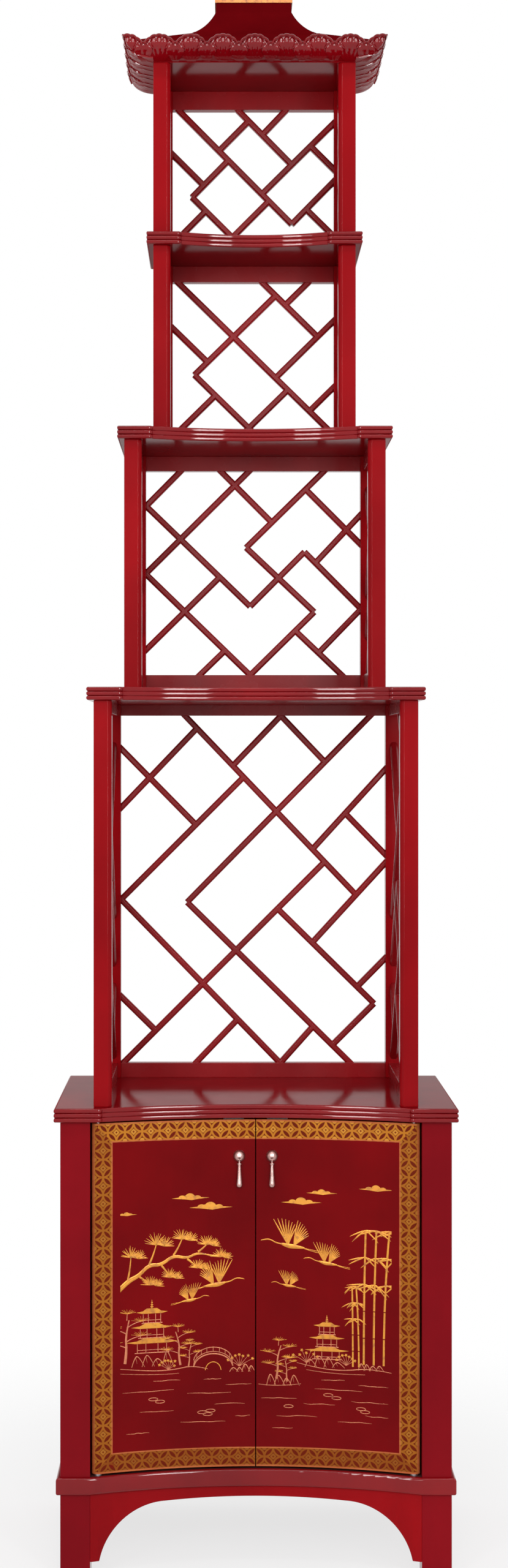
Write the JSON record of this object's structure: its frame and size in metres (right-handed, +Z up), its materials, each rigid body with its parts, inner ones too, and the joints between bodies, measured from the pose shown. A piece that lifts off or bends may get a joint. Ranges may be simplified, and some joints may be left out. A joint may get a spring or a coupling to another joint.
{
  "type": "chinese-style etagere",
  "caption": "Tall lacquered etagere with a hollow-fronted two-door cabinet, stepped open shelves backed by cracked-ice fretwork, and a pagoda roof.",
  "frame": {"origin": "middle of the footprint of the whole part, on the floor", "axes": "+Z up, the doors face -Y, +X to the right of a person who faces the doors"},
  "size_m": [0.582, 0.356, 2.379],
  "materials": {
    "red_lacquer": "polished red lacquer with gilt painting",
    "inside_wood": "dark stained wood",
    "brass": "aged brass",
    "steel": "plain steel"
  },
  "bodies": {
    "case": {"back_panel": "inside_wood", "back_rail": "inside_wood", "band_front": "red_lacquer", "band_returns": "red_lacquer", "bottom_board": "inside_wood", "cabinet_top": "red_lacquer", "cornice": "red_lacquer", "front_apron": "red_lacquer", "inner_shelf": "inside_wood", "leg_back_left": "red_lacquer", "leg_back_right": "red_lacquer", "leg_front_left": "red_lacquer", "leg_front_right": "red_lacquer", "magnet_catches": "steel", "pivot_pins": "steel", "roof": "red_lacquer", "roof_cap": "red_lacquer", "roof_soffit": "red_lacquer", "shelf_above_tier1": "red_lacquer", "shelf_above_tier2": "red_lacquer", "shelf_above_tier3": "red_lacquer", "shelf_pegs": "steel", "side_apron_left": "red_lacquer", "side_apron_right": "red_lacquer", "side_panel_left": "red_lacquer", "side_panel_right": "red_lacquer", "tier1_back_fret": "red_lacquer", "tier1_back_posts": "red_lacquer", "tier1_front_post_left": "red_lacquer", "tier1_front_post_right": "red_lacquer", "tier1_side_fret_left": "red_lacquer", "tier1_side_fret_right": "red_lacquer", "tier2_back_fret": "red_lacquer", "tier2_back_posts": "red_lacquer", "tier2_front_post_left": "red_lacquer", "tier2_front_post_right": "red_lacquer", "tier2_side_fret_left": "red_lacquer", "tier2_side_fret_right": "red_lacquer", "tier3_back_fret": "red_lacquer", "tier3_back_posts": "red_lacquer", "tier3_front_post_left": "red_lacquer", "tier3_front_post_right": "red_lacquer", "tier3_side_fret_left": "red_lacquer", "tier3_side_fret_right": "red_lacquer", "tier4_back_fret": "red_lacquer", "tier4_back_posts": "red_lacquer", "tier4_front_post_left": "red_lacquer", "tier4_front_post_right": "red_lacquer", "tier4_side_fret_left": "red_lacquer", "tier4_side_fret_right": "red_lacquer"},
    "left_door": {"door_left": "red_lacquer", "pull_rosette_left": "brass", "pull_nut_left": "brass", "strike_plate_left": "steel"},
    "left_drop": {"pull_drop_left": "brass"},
    "right_door": {"door_right": "red_lacquer", "pull_rosette_right": "brass", "pull_nut_right": "brass", "strike_plate_right": "steel"},
    "right_drop": {"pull_drop_right": "brass"}
  },
  "joints": [
    {"name": "left_door_hinge", "type": "hinge", "parent": "case", "child": "left_door", "pos_m": [-0.2284, -0.1555, 0.145], "axis": [0, 0, -1], "range_deg": [0, 105]},
    {"name": "left_drop_hinge", "type": "hinge", "parent": "left_door", "child": "left_drop", "pos_m": [-0.02379, -0.13133, 0.597], "axis": [-0.9994, -0.0358, 0], "range_deg": [0, 75]},
    {"name": "right_door_hinge", "type": "hinge", "parent": "case", "child": "right_door", "pos_m": [0.2284, -0.1555, 0.145], "axis": [0, 0, 1], "range_deg": [0, 105]},
    {"name": "right_drop_hinge", "type": "hinge", "parent": "right_door", "child": "right_drop", "pos_m": [0.02379, -0.13133, 0.597], "axis": [-0.9994, 0.0358, 0], "range_deg": [0, 75]}
  ]
}
